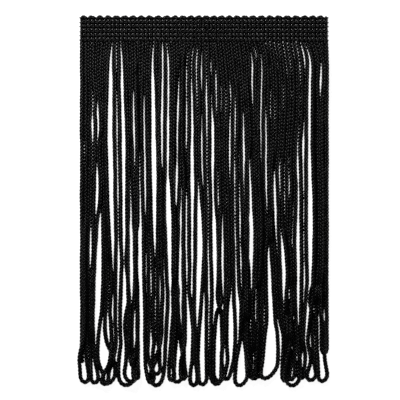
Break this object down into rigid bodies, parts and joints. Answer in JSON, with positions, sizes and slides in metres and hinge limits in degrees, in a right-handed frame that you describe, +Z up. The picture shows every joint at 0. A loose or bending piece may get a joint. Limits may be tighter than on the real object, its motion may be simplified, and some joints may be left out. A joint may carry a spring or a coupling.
{
  "type": "looped chainette fringe trim",
  "caption": "Cut length of black rayon trim: a narrow knitted heading with a picot edge, and a deep fringe of looped chainette cord, to sew or glue along an edge.",
  "frame": {"origin": "centre of the trim's outline, on the flat surface that it lies on", "axes": "+Y from the fringe's loops towards the heading, +X along the heading to the right as the trim is seen, +Z up out of the trim's face"},
  "size_m": [0.1028, 0.1522, 0.0059],
  "materials": {
    "heading_knit": "knitted rayon yarn with a soft gloss",
    "fringe_cord": "glossy chainette cord of rayon"
  },
  "bodies": {
    "root": {"heading": "heading_knit", "fringe": "fringe_cord"}
  },
  "joints": []
}
